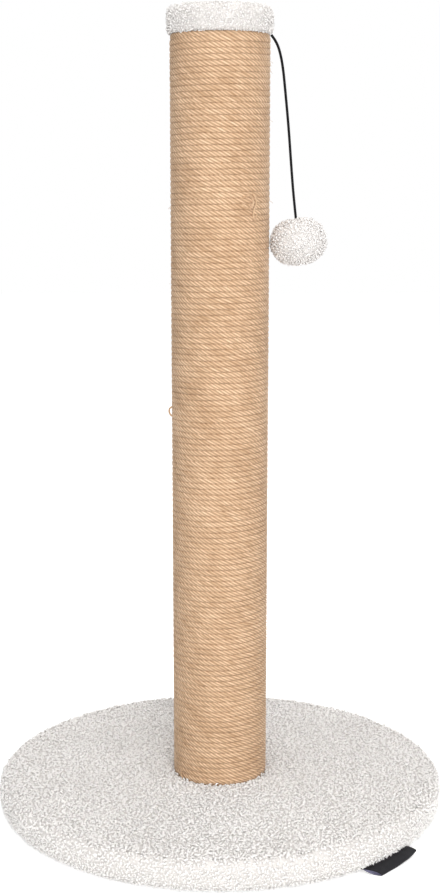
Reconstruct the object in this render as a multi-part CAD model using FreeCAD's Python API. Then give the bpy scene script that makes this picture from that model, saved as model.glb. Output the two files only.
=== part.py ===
"""Cat scratching post: a rope-wound column on a plush base, with a plush cap and a hanging toy ball.

Millimetres. The origin is the centre of the base's underside, +Z runs up the post, and the toy
hangs on the +X side.
"""
import FreeCAD
import Part
import math
import os

Vector = FreeCAD.Vector
UP = Vector(0, 0, 1)
ALONG_X = Vector(1, 0, 0)
ALONG_Y = Vector(0, 1, 0)
ORIGIN = Vector(0, 0, 0)

# ---- driving dimensions ----------------------------------------------------------------------

# base: a routed board in a plush cover, hemmed and stapled underneath
base_diameter = 400.0
base_board_thickness = 22.0
base_top_plush = 4.8
base_side_plush = 6.0
base_hem_plush = 3.0
base_seat_plush = 2.0
base_top_round = 9.0
base_bottom_round = 13.0
board_top_round = 2.0
board_bottom_round = 4.0
hem_width = 44.0
hem_pressed_width = 28.0
hem_pressed_plush = 1.4
sheet_thickness = 0.8
sheet_margin = 2.0
sheet_hole_diameter = 40.0
hem_staple_count = 24
sheet_staple_count = 12
hem_staple_inset = 8.0
sheet_staple_inset = 16.0

# flat staple wire
wire_width = 1.2
wire_thickness = 0.6
staple_crown = 10.0
base_staple_leg = 10.0
cap_staple_leg = 9.0
plug_staple_leg = 14.0

# post: a cardboard tube with a wooden plug in each end
tube_diameter = 75.0
tube_wall = 4.0
tube_length = 646.5
plug_clearance = 0.2
bottom_plug_thickness = 25.0
top_plug_thickness = 18.0
top_plug_sink = 1.5
plug_staple_count = 4

# rope
rope_diameter = 4.3
rope_pitch = 4.78
rope_to_tube = 0.2
rope_end_gap = 0.3
shown_turns = 12
sleeve_gap = 0.45
seat_clearance = 0.4
tack_diameter = 1.2
tack_length = 12.0
tack_head_diameter = 3.0
tack_head_thickness = 0.7

# base bolt, washer and tee nut
bolt_diameter = 8.0
bolt_length = 45.0
bolt_head_across_flats = 13.0
bolt_head_height = 5.3
bolt_hole_clearance = 0.5
washer_diameter = 24.0
washer_thickness = 2.0
counterbore_diameter = 28.0
counterbore_depth = 8.5
tee_barrel_diameter = 10.0
tee_barrel_length = 11.0
tee_flange_diameter = 22.0
tee_flange_thickness = 1.5
tee_thread_clearance = 0.1
tee_prong_count = 4
tee_prong_length = 7.0
tee_prong_width = 3.0

# cap: a disc in a plush cover that is tucked underneath
cap_diameter = 89.6
cap_side_plush = 4.5
cap_top_plush = 4.8
cap_disc_thickness = 16.0
cap_top_round = 5.5
cap_bottom_round = 3.2
cap_staple_inset = 5.5
cap_hem_past_staples = 6.0
cap_staple_count = 8
screw_diameter = 4.0
screw_head_diameter = 8.0
screw_head_height = 2.6
screw_length = 35.0
screw_spacing = 28.0
screw_hole_clearance = 0.2

# toy cord and its knots
cord_diameter = 2.2
hem_over_cord = 0.1
running_gap = 0.3
cord_knot_radius = 1.5
knot_inset = 0.7
knot_pocket_gap = 0.4
swing_room = 4.6
tail_length = 12.5
tail_slot_margin = 0.2
cord_staple_inset = 9.5

# The cord's bends below its knot: how far out towards the ball's centre, as a share, and how far down.
cord_bends = [
    (0.181, 5.5),
    (0.319, 13.3),
    (0.433, 26.5),
    (0.524, 47.5),
    (0.638, 75.9),
    (0.727, 104.7),
    (0.833, 136.2),
]
ball_drop = 170.4
run_share_in_arc = 0.45

# toy ball
ball_diameter = 48.4
ball_height = 40.8
ball_plush = 4.0
ball_gap = 0.6
ball_skin_gap = 0.1
ball_dimple_depth = 1.8
ball_dimple_radius = 7.0
ball_edge_share = 0.985
ball_fullness_across = 0.775
ball_fullness_up = 0.72
end_knot_radius = 3.0
end_knot_gap = 0.4
cord_bore_gap = 0.4

# folded ribbon label at the front right of the base, in three sections from left to right:
# azimuth and height where it is sewn on, azimuth, reach past the base's side and height of its fold,
# opening of its loop
tag_sections = [
    (-53.5, 8.0, -52.8, 13.4, 0.9, 3.2),
    (-46.0, 11.0, -45.3, 7.0, 1.2, 2.4),
    (-38.5, 14.5, -38.5, 1.9, 4.0, 1.4),
]
tag_thickness = 0.5
tag_tail = 3.0

# ---- levels and radii that follow from them --------------------------------------------------

base_radius = base_diameter / 2
board_radius = base_radius - base_side_plush
board_bottom = base_hem_plush
board_top = board_bottom + base_board_thickness
base_top = board_top + base_top_plush
seat_level = board_top + base_seat_plush

tube_radius = tube_diameter / 2
tube_bore_radius = tube_radius - tube_wall
tube_top = seat_level + tube_length
plug_radius = tube_bore_radius - plug_clearance
bottom_plug_top = seat_level + bottom_plug_thickness
top_plug_top = tube_top - top_plug_sink
top_plug_bottom = top_plug_top - top_plug_thickness

rope_radius = rope_diameter / 2
winding_radius = tube_radius + rope_to_tube + rope_radius
rope_outer_radius = winding_radius + rope_radius
foot_turns_start = seat_level + rope_end_gap + rope_radius
foot_turns_end = foot_turns_start + shown_turns * rope_pitch
top_turns_end = tube_top - rope_end_gap - rope_radius
top_turns_start = top_turns_end - shown_turns * rope_pitch

cord_radius = cord_diameter / 2
cap_hem_plush = cord_diameter + 2 * hem_over_cord
cap_radius = cap_diameter / 2
cap_disc_radius = cap_radius - cap_side_plush
cap_staple_radius = tube_bore_radius - cap_staple_inset
cap_hem_inner_radius = cap_staple_radius - cap_hem_past_staples
cap_disc_bottom = tube_top + cap_hem_plush
cap_disc_top = cap_disc_bottom + cap_disc_thickness
cap_top = cap_disc_top + cap_top_plush

# the universal pivot of the toy, in the fold of the cap's hem
knot_place = Vector(rope_outer_radius - knot_inset, 0, tube_top + cap_hem_plush / 2)
ball_place = Vector(rope_outer_radius + ball_gap + ball_diameter / 2, 0, knot_place.z - ball_drop)


# ---- shape helpers ---------------------------------------------------------------------------

def cylinder(radius, low, high, centre_x=0.0, centre_y=0.0):
    return Part.makeCylinder(radius, high - low, Vector(centre_x, centre_y, low), UP)


def ring(outer_radius, inner_radius, low, high):
    return cylinder(outer_radius, low, high).cut(cylinder(inner_radius, low, high))


def turned(*edges):
    """The solid turned about Z from a closed outline of edges in the XZ plane."""
    return Part.Face(Part.Wire(list(edges))).revolve(ORIGIN, UP, 360)


def at(radius, height):
    return Vector(radius, 0, height)


def line(start, end):
    return Part.LineSegment(start, end).toShape()


def polyline(*points):
    return [line(start, end) for start, end in zip(points, points[1:])]


def corner(centre, radius, from_degrees, to_degrees):
    """A round corner in the XZ plane, between two directions from its centre."""
    def point(degrees):
        angle = math.radians(degrees)
        return centre + Vector(math.cos(angle), 0, math.sin(angle)) * radius
    middle = (from_degrees + to_degrees) / 2
    return Part.Arc(point(from_degrees), point(middle), point(to_degrees)).toShape()


def around(shape, count, first_degrees=0.0):
    """Copies of a shape, evenly spaced about Z."""
    copies = []
    for index in range(count):
        copy = shape.copy()
        copy.rotate(ORIGIN, UP, first_degrees + 360.0 * index / count)
        copies.append(copy)
    return Part.makeCompound(copies)


def staple(leg):
    """A flat-wire staple with its crown's outer face on z = 0, its crown along Y and its legs up."""
    half = staple_crown / 2
    crown = Part.makeBox(wire_width, staple_crown, wire_thickness, Vector(-wire_width / 2, -half, 0))
    legs = [
        Part.makeBox(wire_width, wire_thickness, leg, Vector(-wire_width / 2, edge, 0))
        for edge in (-half, half - wire_thickness)
    ]
    return crown.fuse(legs).removeSplitter()


def moved(shape, offset):
    copy = shape.copy()
    copy.translate(offset)
    return copy


def cut_all(shape, tools):
    for tool in tools:
        shape = shape.cut(tool)
    return shape


# ---- base ------------------------------------------------------------------------------------

hem_inner_radius = board_radius - hem_width
hem_step_radius = hem_inner_radius + hem_pressed_width
hem_pressed_level = board_bottom - hem_pressed_plush
sheet_radius = hem_step_radius - sheet_margin
sheet_bottom = hem_pressed_level - sheet_thickness
bolt_hole_radius = bolt_diameter / 2 + bolt_hole_clearance
washer_top = board_bottom + counterbore_depth
bolt_seat = washer_top - washer_thickness
hem_staple_radius = hem_step_radius - hem_staple_inset
sheet_staple_radius = hem_step_radius - sheet_staple_inset


def make_hem_staples():
    one = moved(staple(base_staple_leg), Vector(hem_staple_radius, 0, hem_pressed_level))
    return around(one, hem_staple_count)


def make_sheet_staples():
    one = moved(staple(base_staple_leg), Vector(sheet_staple_radius, 0, sheet_bottom - wire_thickness))
    return around(one, sheet_staple_count, 180.0 / hem_staple_count)


def make_base_board():
    low, high, edge = board_bottom, board_top, board_radius
    outline = polyline(at(0, low), at(edge - board_bottom_round, low))
    outline.append(corner(at(edge - board_bottom_round, low + board_bottom_round),
                          board_bottom_round, -90, 0))
    outline += polyline(at(edge, low + board_bottom_round), at(edge, high - board_top_round))
    outline.append(corner(at(edge - board_top_round, high - board_top_round), board_top_round, 0, 90))
    outline += polyline(at(edge - board_top_round, high), at(0, high), at(0, low))
    board = turned(*outline)
    board = board.cut(cylinder(counterbore_diameter / 2, low, washer_top))
    return board.cut(cylinder(bolt_hole_radius, low, high))


def make_base_cover():
    """The plush: pressed flat under the post, round at both edges, hemmed under the board."""
    low, edge = board_bottom, board_radius
    outline = polyline(at(bolt_hole_radius, board_top), at(bolt_hole_radius, seat_level),
                       at(rope_outer_radius + seat_clearance, seat_level),
                       at(rope_outer_radius + seat_clearance, base_top),
                       at(base_radius - base_top_round, base_top))
    outline.append(corner(at(base_radius - base_top_round, base_top - base_top_round),
                          base_top_round, 90, 0))
    outline += polyline(at(base_radius, base_top - base_top_round), at(base_radius, base_bottom_round))
    outline.append(corner(at(base_radius - base_bottom_round, base_bottom_round),
                          base_bottom_round, 0, -90))
    outline += polyline(at(base_radius - base_bottom_round, 0), at(hem_step_radius, 0),
                        at(hem_step_radius, hem_pressed_level), at(hem_inner_radius, hem_pressed_level),
                        at(hem_inner_radius, low), at(edge - board_bottom_round, low))
    outline.append(corner(at(edge - board_bottom_round, low + board_bottom_round),
                          board_bottom_round, -90, 0))
    outline += polyline(at(edge, low + board_bottom_round), at(edge, board_top - board_top_round))
    outline.append(corner(at(edge - board_top_round, board_top - board_top_round),
                          board_top_round, 0, 90))
    outline += polyline(at(edge - board_top_round, board_top), at(bolt_hole_radius, board_top))
    return turned(*outline)


def make_base_sheet():
    return ring(sheet_radius, sheet_hole_diameter / 2, sheet_bottom, hem_pressed_level)


def make_base_bolt():
    head_radius = bolt_head_across_flats / 2 / math.cos(math.pi / 6)
    corners = [
        Vector(head_radius * math.cos(side * math.pi / 3), head_radius * math.sin(side * math.pi / 3),
               bolt_seat - bolt_head_height)
        for side in range(7)
    ]
    head = Part.Face(Part.makePolygon(corners)).extrude(UP * bolt_head_height)
    return head.fuse(cylinder(bolt_diameter / 2, bolt_seat, bolt_seat + bolt_length))


def make_base_washer():
    return ring(washer_diameter / 2, bolt_hole_radius, bolt_seat, washer_top)


def side_radius(height):
    """Radius of the cover's side at a height."""
    if height >= base_bottom_round:
        return base_radius
    drop = base_bottom_round - height
    return base_radius - base_bottom_round + math.sqrt(base_bottom_round ** 2 - drop ** 2)


def around_base(azimuth, radius, height):
    angle = math.radians(azimuth)
    return Vector(radius * math.cos(angle), radius * math.sin(angle), height)


def tag_outlines(section):
    """Outer and inner outline of the ribbon's loop in one upright section across it."""
    sewn_azimuth, sewn_height, fold_azimuth, reach, fold_height, opening = section
    sewn = around_base(sewn_azimuth, side_radius(sewn_height) + running_gap, sewn_height)
    fold = around_base(fold_azimuth, base_radius + reach, fold_height)
    outward = Vector(fold.x - sewn.x, fold.y - sewn.y, 0).normalize()
    chord = fold - sewn
    down = (fold - sewn).normalize()
    face_way = outward * -down.z + UP * down.dot(outward)
    face = face_way * tag_thickness
    belly = face_way * (opening / 2)
    tail = sewn - outward * tag_tail
    thick = UP * tag_thickness
    outer = [tail + thick, sewn + thick, sewn + chord * 0.5 + belly + face, fold + face,
             fold + down * tag_thickness, fold - face, sewn + chord * 0.5 - belly - face,
             sewn - thick - outward * tag_thickness, tail - thick]
    inner = [sewn, sewn + chord * 0.5 + belly, fold - down * tag_thickness, sewn + chord * 0.5 - belly]
    return outer, inner


def closed_wire(points):
    return Part.makePolygon(points + points[:1])


def make_blank_tag():
    outlines = [tag_outlines(section) for section in tag_sections]
    outer = Part.makeLoft([closed_wire(outline[0]) for outline in outlines], True, True)
    inner = Part.makeLoft([closed_wire(outline[1]) for outline in outlines], True, True)
    return outer.cut(inner)


# ---- post ------------------------------------------------------------------------------------

def make_plug_staples(height):
    """Staples pressed flush into the tube's wall, crowns upright, legs into the plug."""
    one = staple(plug_staple_leg)
    one.rotate(ORIGIN, ALONG_X, 90)
    one.rotate(ORIGIN, UP, -90)
    one.translate(Vector(tube_radius, 0, height))
    return around(one, plug_staple_count, 180.0 / plug_staple_count)


def make_post_tube():
    return ring(tube_radius, tube_bore_radius, seat_level, tube_top)


def make_bottom_plug():
    plug = ring(plug_radius, bolt_hole_radius, seat_level, bottom_plug_top)
    barrel_room = cylinder(tee_barrel_diameter / 2, bottom_plug_top - tee_barrel_length, bottom_plug_top)
    return plug.cut(barrel_room)


def make_tee_nut():
    flange_top = bottom_plug_top + tee_flange_thickness
    thread_radius = bolt_diameter / 2 + tee_thread_clearance
    body = cylinder(tee_flange_diameter / 2, bottom_plug_top, flange_top)
    body = body.fuse(cylinder(tee_barrel_diameter / 2, bottom_plug_top - tee_barrel_length, flange_top))
    prong = Part.makeBox(tee_flange_thickness, tee_prong_width, tee_prong_length + tee_flange_thickness,
                         Vector(tee_flange_diameter / 2 - 2 * tee_flange_thickness, -tee_prong_width / 2,
                                bottom_plug_top - tee_prong_length))
    body = body.fuse(around(prong, tee_prong_count, 45.0).Solids).removeSplitter()
    return body.cut(cylinder(thread_radius, bottom_plug_top - tee_barrel_length, flange_top))


def make_top_plug():
    return cylinder(plug_radius, top_plug_bottom, top_plug_top)


def make_tack(side, height):
    """A small nail through a rope end at the back of the post."""
    place = Vector(side * rope_diameter / 2, rope_outer_radius, height)
    head = Part.makeCylinder(tack_head_diameter / 2, tack_head_thickness, place, ALONG_Y)
    return head.fuse(Part.makeCylinder(tack_diameter / 2, tack_length, place, -ALONG_Y))


# ---- rope ------------------------------------------------------------------------------------

def arc_between(start, corner_point, end):
    """The arc from start to end that is tangent there to the lines through corner_point."""
    middle = (start + end) * 0.5
    leg = (corner_point - start).Length
    half_chord = (end - start).Length / 2
    height = (corner_point - middle).Length
    sagitta = half_chord * (leg - half_chord) / height
    return Part.Arc(start, middle + (corner_point - middle) * (sagitta / height), end)


def biarc(start, start_way, end, end_way):
    """Two arcs that leave start along start_way and reach end along end_way."""
    chord = end - start
    ways = start_way + end_way
    a = 2 * (1 - start_way.dot(end_way))
    b = 2 * chord.dot(ways)
    c = -chord.dot(chord)
    reach = (-b + math.sqrt(b * b - 4 * a * c)) / (2 * a)
    first_corner = start + start_way * reach
    second_corner = end - end_way * reach
    joint = (first_corner + second_corner) * 0.5
    return [arc_between(start, first_corner, joint), arc_between(joint, second_corner, end)]


def helix_point(quarter, low):
    """Point and direction on the winding, a number of quarter turns after its start at the back."""
    angle = math.pi / 2 * (1 + quarter)
    rise = rope_pitch / 4
    point = Vector(winding_radius * math.cos(angle), winding_radius * math.sin(angle),
                   low + rise * quarter)
    way = Vector(-winding_radius * math.sin(angle), winding_radius * math.cos(angle),
                 rope_pitch / (2 * math.pi)).normalize()
    return point, way


def winding_path(low):
    quarters = 4 * shown_turns
    start, start_way = helix_point(0, low)
    end, end_way = helix_point(quarters, low)
    curves = [Part.LineSegment(start - start_way * rope_diameter, start)]
    for quarter in range(quarters):
        here, here_way = helix_point(quarter, low)
        there, there_way = helix_point(quarter + 1, low)
        curves += biarc(here, here_way, there, there_way)
    curves.append(Part.LineSegment(end, end + end_way * rope_diameter))
    return curves


def least_gap(curves, thickness, name):
    """Least gap of a wound tube to itself, on points about one radius apart, looking one turn ahead."""
    one_turn = 2 * math.pi * (winding_radius + thickness)
    points = []
    travel = []
    length = 0.0
    for curve in curves:
        shape = curve.toShape()
        steps = max(2, int(shape.Length / (thickness / 2)))
        for point in shape.discretize(steps + 1)[:-1]:
            points.append(point)
            travel.append(length)
            length += shape.Length / steps
    least = math.inf
    for first, point in enumerate(points):
        for second in range(first + 1, len(points)):
            if travel[second] - travel[first] > one_turn:
                break
            if travel[second] - travel[first] > math.pi * thickness:
                least = min(least, point.distanceToPoint(points[second]))
    print(f"{name}: least gap to itself {least - thickness:.2f} mm")


def make_turns(low, name):
    curves = winding_path(low)
    least_gap(curves, rope_diameter, name)
    path = Part.Wire([curve.toShape() for curve in curves])
    start, start_way = helix_point(0, low)
    section = Part.Wire(Part.Circle(start - start_way * rope_diameter, start_way, rope_radius).toShape())
    return path.makePipeShell([section], True, False)


def make_rope_wrap():
    return ring(rope_outer_radius, tube_radius + rope_to_tube,
                foot_turns_end + rope_radius + sleeve_gap, top_turns_start - rope_radius - sleeve_gap)


# ---- cap -------------------------------------------------------------------------------------

def make_cap_disc():
    return cylinder(cap_disc_radius, cap_disc_bottom, cap_disc_top)


def make_cap_cover():
    top_centre = at(cap_radius - cap_top_round, cap_top - cap_top_round)
    bottom_centre = at(cap_radius - cap_bottom_round, tube_top + cap_bottom_round)
    outline = polyline(at(0, cap_disc_top), at(0, cap_top), at(top_centre.x, cap_top))
    outline.append(corner(top_centre, cap_top_round, 90, 0))
    outline += polyline(at(cap_radius, top_centre.z), at(cap_radius, bottom_centre.z))
    outline.append(corner(bottom_centre, cap_bottom_round, 0, -90))
    outline += polyline(at(bottom_centre.x, tube_top), at(cap_hem_inner_radius, tube_top),
                        at(cap_hem_inner_radius, cap_disc_bottom), at(cap_disc_radius, cap_disc_bottom),
                        at(cap_disc_radius, cap_disc_top), at(0, cap_disc_top))
    cover = turned(*outline)
    slot_half = cord_radius + tail_slot_margin
    slot = Part.makeBox(knot_place.x, 2 * slot_half, cap_hem_plush, Vector(0, -slot_half, tube_top))
    swing = Part.makeSphere(swing_room, knot_place)
    outside = Part.makeBox(swing_room, 2 * swing_room, 2 * swing_room,
                           knot_place - Vector(0, swing_room, swing_room))
    return cut_all(cover, [slot, swing.common(outside), knot_pocket()])


def knot_pocket():
    return Part.makeSphere(cord_knot_radius + knot_pocket_gap, knot_place)


def make_cap_staples():
    one = moved(staple(cap_staple_leg), Vector(cap_staple_radius, 0, tube_top - wire_thickness))
    return around(one, cap_staple_count, 180.0 / cap_staple_count)


def make_screw(y):
    """A countersunk wood screw, its head at the plug's underside and its point in the disc."""
    low, high = top_plug_bottom, top_plug_bottom + screw_length
    point_low = high - screw_diameter
    return turned(*polyline(
        at(0, low), at(screw_head_diameter / 2, low), at(screw_diameter / 2, low + screw_head_height),
        at(screw_diameter / 2, point_low), at(screw_diameter / 8, high), at(0, high), at(0, low),
    )).translated(Vector(0, y, 0))


# ---- toy -------------------------------------------------------------------------------------

def cord_route():
    """Points of the free cord, from its knot in the cap to the knot in the ball."""
    out = ball_place.x - knot_place.x
    bends = [knot_place + Vector(share * out, 0, -drop) for share, drop in cord_bends]
    start = knot_place + (bends[0] - knot_place).normalize() * (cord_knot_radius + running_gap)
    end = ball_place - (ball_place - bends[-1]).normalize() * (end_knot_radius + running_gap)
    return [start] + bends + [end]


def rounded_path(route):
    """Straight runs with tangent arcs, each as large as its two runs allow."""
    curves = []
    radii = []
    here = route[0]
    for before, bend, after in zip(route, route[1:], route[2:]):
        back = (before - bend).normalize()
        ahead = (after - bend).normalize()
        reach = run_share_in_arc * min((bend - before).Length, (after - bend).Length)
        arc = arc_between(bend + back * reach, bend, bend + ahead * reach)
        curves += [Part.LineSegment(here, bend + back * reach), arc]
        radii.append(reach / math.tan((math.pi - back.getAngle(ahead)) / 2))
        here = bend + ahead * reach
    curves.append(Part.LineSegment(here, route[-1]))
    return curves, radii


def make_toy_cord():
    route = cord_route()
    curves, radii = rounded_path(route)
    path = Part.Wire([curve.toShape() for curve in curves])
    section = Part.Wire(Part.Circle(route[0], route[1] - route[0], cord_radius).toShape())
    cord = path.makePipeShell([section], True, False)
    expected = math.pi * cord_radius ** 2 * path.Length
    print("toy_cord: arc radii " + ", ".join(f"{radius:.0f}" for radius in radii) + " mm")
    print(f"toy_cord: length {path.Length:.1f} mm, volume {cord.Volume:.1f} of {expected:.1f} mm3")
    for point in route:
        print(f"toy_cord: point ({point.x:.2f}, {point.y:.2f}, {point.z:.2f})")
    return cord


def make_cord_tail():
    outer_end = knot_place.x - cord_knot_radius - running_gap
    return Part.makeCylinder(cord_radius, tail_length,
                             Vector(outer_end - tail_length, 0, knot_place.z), ALONG_X)


def make_cord_staple():
    """A narrow staple over the tail, driven up into the disc."""
    half = cord_radius + hem_over_cord + wire_thickness
    place = Vector(knot_place.x - cord_staple_inset, 0, knot_place.z - cord_radius - wire_thickness)
    crown = Part.makeBox(wire_width, 2 * half, wire_thickness, place - Vector(wire_width / 2, half, 0))
    legs = [
        Part.makeBox(wire_width, wire_thickness, cap_staple_leg,
                     place + Vector(-wire_width / 2, edge, 0))
        for edge in (-half, half - wire_thickness)
    ]
    return crown.fuse(legs).removeSplitter()


def ball_form(shrink):
    """The flattened ball about Z, its cord dimple on top, drawn in by a thickness all round."""
    width = ball_diameter / 2 - shrink
    height = ball_height / 2 - shrink
    dimple = height - ball_dimple_depth
    shoulder = at(ball_dimple_radius, height * ball_edge_share)
    flat = at(ball_dimple_radius, -height * ball_edge_share)
    full, up = width * ball_fullness_across, height * ball_fullness_up
    upper = Part.Arc(shoulder, at(full, up), at(width, 0)).toShape()
    lower = Part.Arc(at(width, 0), at(full, -up), flat).toShape()
    return turned(line(at(0, dimple), shoulder), upper, lower, line(flat, at(0, -height)),
                  line(at(0, -height), at(0, dimple)))


def hung(shape):
    """Turns a shape made about Z into line with the cord's end and sets it at the ball's centre."""
    way = ball_place - cord_route()[-2]
    copy = shape.copy()
    copy.rotate(ORIGIN, ALONG_Y, -math.degrees(math.atan2(way.x, -way.z)))
    return moved(copy, ball_place)


def cord_bore():
    return cylinder(cord_radius + cord_bore_gap, 0, ball_height)


def make_ball_cover():
    return hung(ball_form(0).cut(ball_form(ball_plush)).cut(cord_bore()))


def make_ball_filling():
    room = Part.makeSphere(end_knot_radius + end_knot_gap)
    return hung(cut_all(ball_form(ball_plush + ball_skin_gap), [cord_bore(), room]))


# ---- assembly --------------------------------------------------------------------------------

hem_staples = make_hem_staples()
sheet_staples = make_sheet_staples()
cap_staples = make_cap_staples()
bottom_plug_staples = make_plug_staples((seat_level + bottom_plug_top) / 2)
top_plug_staples = make_plug_staples((top_plug_bottom + top_plug_top) / 2)
foot_tack = make_tack(1, foot_turns_start)
top_tack = make_tack(-1, top_turns_end)
screws = [make_screw(side * screw_spacing / 2) for side in (-1, 1)]
screw_holes = [
    cylinder(screw_diameter / 2 + screw_hole_clearance, top_plug_bottom, top_plug_top, 0,
             side * screw_spacing / 2)
    for side in (-1, 1)
]
cord_staple = make_cord_staple()
tee_nut = make_tee_nut()
blank_tag = make_blank_tag()
tag_slit = Part.makeLoft([closed_wire(tag_outlines(section)[0]) for section in tag_sections], True, True)
post_tools = [bottom_plug_staples, top_plug_staples, foot_tack, top_tack]

parts = {
    "base_board": cut_all(make_base_board(), [hem_staples, sheet_staples]),
    "base_cover": cut_all(make_base_cover(), [hem_staples, sheet_staples, tag_slit, foot_tack]),
    "base_sheet": cut_all(make_base_sheet(), [sheet_staples]),
    "hem_staples": hem_staples,
    "sheet_staples": sheet_staples,
    "blank_tag": blank_tag,
    "base_bolt": make_base_bolt(),
    "base_washer": make_base_washer(),
    "post_tube": cut_all(make_post_tube(), post_tools),
    "bottom_plug": cut_all(make_bottom_plug(), [tee_nut, bottom_plug_staples, foot_tack]),
    "top_plug": cut_all(make_top_plug(), screw_holes + screws + [top_plug_staples, top_tack]),
    "bottom_plug_staples": bottom_plug_staples,
    "top_plug_staples": top_plug_staples,
    "tee_nut": tee_nut,
    "rope_foot_turns": make_turns(foot_turns_start, "rope_foot_turns").cut(foot_tack),
    "rope_wrap": make_rope_wrap(),
    "rope_top_turns": make_turns(top_turns_start, "rope_top_turns").cut(top_tack),
    "rope_tacks": Part.makeCompound([foot_tack, top_tack]),
    "cap_disc": cut_all(make_cap_disc(), screws + [cap_staples, cord_staple, knot_pocket()]),
    "cap_cover": cut_all(make_cap_cover(), [cap_staples, cord_staple]),
    "cap_staples": cap_staples,
    "cap_screws": Part.makeCompound(screws),
    "cord_tail": make_cord_tail(),
    "cord_staple": cord_staple,
    "cord_knot": Part.makeSphere(cord_knot_radius, knot_place),
    "toy_cord": make_toy_cord(),
    "end_knot": Part.makeSphere(end_knot_radius, ball_place),
    "ball_cover": make_ball_cover(),
    "ball_filling": make_ball_filling(),
}

os.makedirs("parts", exist_ok=True)
for name, shape in parts.items():
    shape.exportStep(f"parts/{name}.step")
    box = shape.BoundBox
    print(f"{name}: {len(shape.Solids)} solids, {'valid' if shape.isValid() else 'NOT VALID'}, "
          f"{shape.Volume / 1000:.2f} cm3, z {box.ZMin:.1f} to {box.ZMax:.1f}")
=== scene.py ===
"""The looks of a cat scratching post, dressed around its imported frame.

Metres. The origin is the centre of the base's underside, +Z runs up the post, and the toy hangs on
the +X side.
"""

import bmesh
import bpy
import math
import numpy as np
import random
from mathutils import Matrix, Vector, noise


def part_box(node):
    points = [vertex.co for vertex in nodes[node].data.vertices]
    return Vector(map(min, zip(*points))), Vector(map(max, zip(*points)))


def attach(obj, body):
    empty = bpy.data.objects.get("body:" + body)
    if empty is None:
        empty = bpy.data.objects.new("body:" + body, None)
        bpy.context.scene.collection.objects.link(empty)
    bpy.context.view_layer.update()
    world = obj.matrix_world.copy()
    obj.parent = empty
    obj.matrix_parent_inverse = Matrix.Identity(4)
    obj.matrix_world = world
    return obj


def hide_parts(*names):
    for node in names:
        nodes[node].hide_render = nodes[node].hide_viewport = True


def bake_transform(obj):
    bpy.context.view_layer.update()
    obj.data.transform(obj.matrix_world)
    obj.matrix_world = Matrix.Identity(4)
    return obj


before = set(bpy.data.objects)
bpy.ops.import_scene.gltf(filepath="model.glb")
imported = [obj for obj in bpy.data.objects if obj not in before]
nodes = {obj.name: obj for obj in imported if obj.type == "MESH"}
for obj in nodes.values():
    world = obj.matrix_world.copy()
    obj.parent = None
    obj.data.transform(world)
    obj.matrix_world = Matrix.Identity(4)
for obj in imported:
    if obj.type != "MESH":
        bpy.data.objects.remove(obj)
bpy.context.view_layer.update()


# ---- base board ------------------------------------------------------------------------------
# A round of medium-density fibreboard, routed at both edges. It is cut from raw brown board and
# stays unpainted, because the plush hides it.

class Thread:
    """A socket in a material. Arithmetic on it adds Math nodes, and node() adds any other node."""

    def __init__(self, tree, socket=None):
        self.tree = tree
        self.socket = socket

    def node(self, kind, settings, sockets, output=0):
        made = self.tree.nodes.new("ShaderNode" + kind)
        for name, value in settings.items():
            setattr(made, name, value)
        for name, value in sockets.items():
            if isinstance(value, Thread):
                self.tree.links.new(value.socket, made.inputs[name])
            else:
                made.inputs[name].default_value = value
        return Thread(self.tree, made.outputs[output])

    def math(self, operation, first, second=0.5):
        return self.node("Math", {"operation": operation}, {0: first, 1: second})

    def __add__(self, other):
        return self.math("ADD", self, other)

    def __mul__(self, other):
        return self.math("MULTIPLY", self, other)

    def __sub__(self, other):
        return self.math("SUBTRACT", self, other)

    def __rsub__(self, other):
        return self.math("SUBTRACT", other, self)

    __radd__ = __add__
    __rmul__ = __mul__

    def blend(self, low, high):
        """A colour between two, by this value."""
        return self.node("Mix", {"data_type": "RGBA"}, {0: self, 6: low, 7: high}, 2)


def finish(name, **steady):
    """A material, a Thread in its tree, and a call that links sockets of its shader."""
    material = bpy.data.materials.new(name)
    material.use_nodes = True
    tree = material.node_tree
    shader = tree.nodes["Principled BSDF"]
    for socket, value in steady.items():
        shader.inputs[socket.replace("_", " ")].default_value = value

    def wear(**linked):
        for socket, thread in linked.items():
            tree.links.new(thread.socket, shader.inputs[socket.replace("_", " ")])

    return material, Thread(tree), wear


def grain(thread, size, detail=3.0, vector=None):
    """Noise whose patches are about size across, on Object coordinates unless a vector is given."""
    place = vector or thread.node("TexCoord", {}, {}, "Object")
    return thread.node("TexNoise", {}, {
        "Vector": place, "Scale": 1 / size, "Detail": detail, "Roughness": 0.6})


def relief(thread, height, depth, strength=1.0):
    """A normal that lets the surface rise and fall by depth, in metres."""
    return thread.node("Bump", {}, {"Height": height, "Distance": depth, "Strength": strength})


def dress(node, material):
    """Gives a CAD node its finish."""
    mesh = nodes[node].data
    mesh.materials.clear()
    mesh.materials.append(material)


def srgb(red, green, blue):
    """A colour as a screen shows it, 0 to 255, in linear light and opaque."""
    return tuple(((part / 255 + 0.055) / 1.055) ** 2.4 if part > 10 else part / 3295
                 for part in (red, green, blue)) + (1.0,)


fibreboard, thread, wear = finish("raw_fibreboard", Roughness=0.85)
fibres = grain(thread, 0.0006, 5.0)
patches = grain(thread, 0.02)
wear(Base_Color=(fibres * 0.7 + patches * 0.3).blend(srgb(128, 98, 68), srgb(176, 144, 106)),
     Normal=relief(thread, fibres, 0.0002))
dress("base_board", fibreboard)
dress("cap_disc", fibreboard)


# ---- base plush ------------------------------------------------------------------------------
# Cream boucle pulled over the board and hemmed beneath it: a knitted backing that is hidden under
# short curled locks of yarn. Its pile is pressed flat under the board and under the post.

curl_sides = 3
curl_steps = 3
shade_margin = 0.02
shade_span = 0.96
curl_forms = []
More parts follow.
